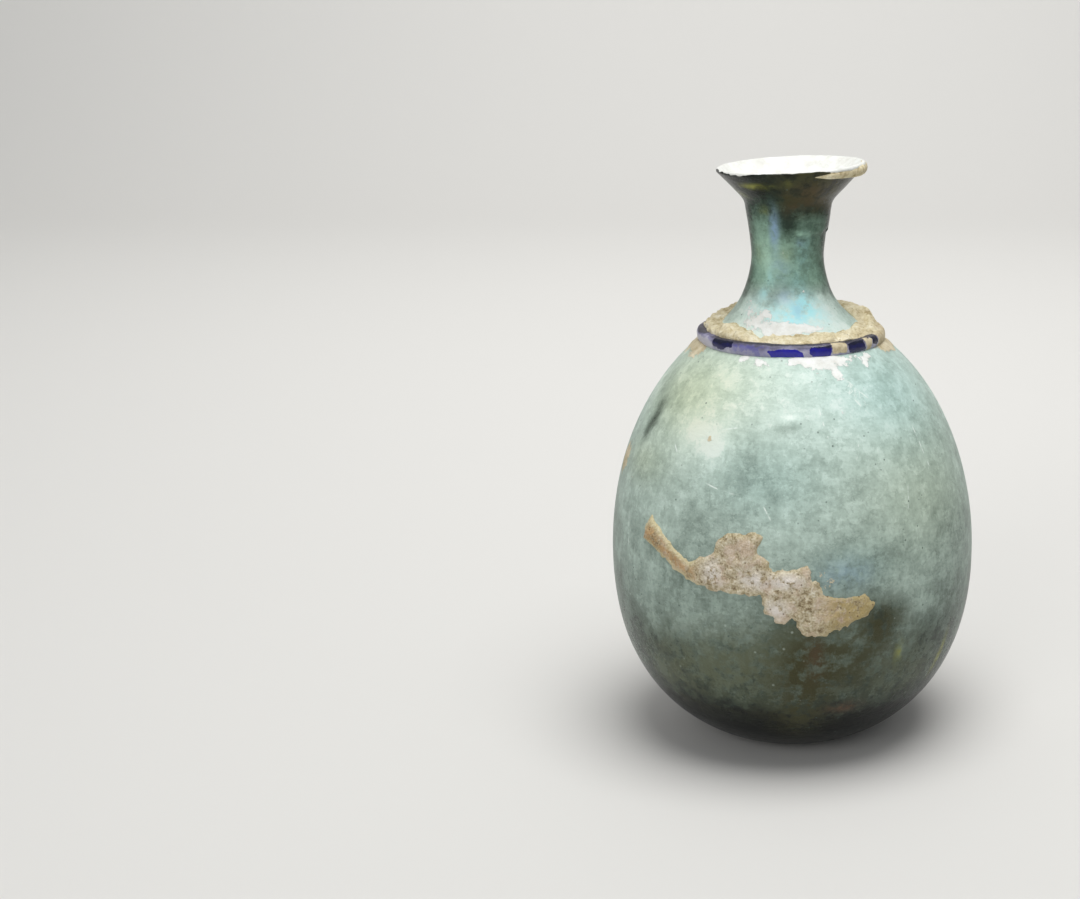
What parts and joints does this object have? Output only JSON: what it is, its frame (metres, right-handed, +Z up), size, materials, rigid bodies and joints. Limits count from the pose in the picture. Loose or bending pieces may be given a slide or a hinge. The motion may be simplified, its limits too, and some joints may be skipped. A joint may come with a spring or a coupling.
{
  "type": "glass perfume flask",
  "caption": "Egg-shaped blown glass flask with a waisted neck, flared mouth and a blue glass coil on the shoulder; weathered, with burial soil still on it. Holds and pours perfumed oil.",
  "frame": {"origin": "on the standing surface, under the middle of the body", "axes": "+Z up along the flask's axis, -Y towards the side that carries the crust"},
  "size_m": [0.0748, 0.0759, 0.1194],
  "materials": {
    "aqua_glass": "weathered, milky, with a thin iridescent film on the neck",
    "cobalt_glass": "glossy where the weathering film has flaked off",
    "burial_soil": "matt, sandy",
    "soil_crust": "matt, scaly"
  },
  "bodies": {
    "root": {"glass_flask": "aqua_glass", "blue_coil": "cobalt_glass", "shoulder_soil": "burial_soil", "front_crust": "soil_crust"}
  },
  "joints": []
}
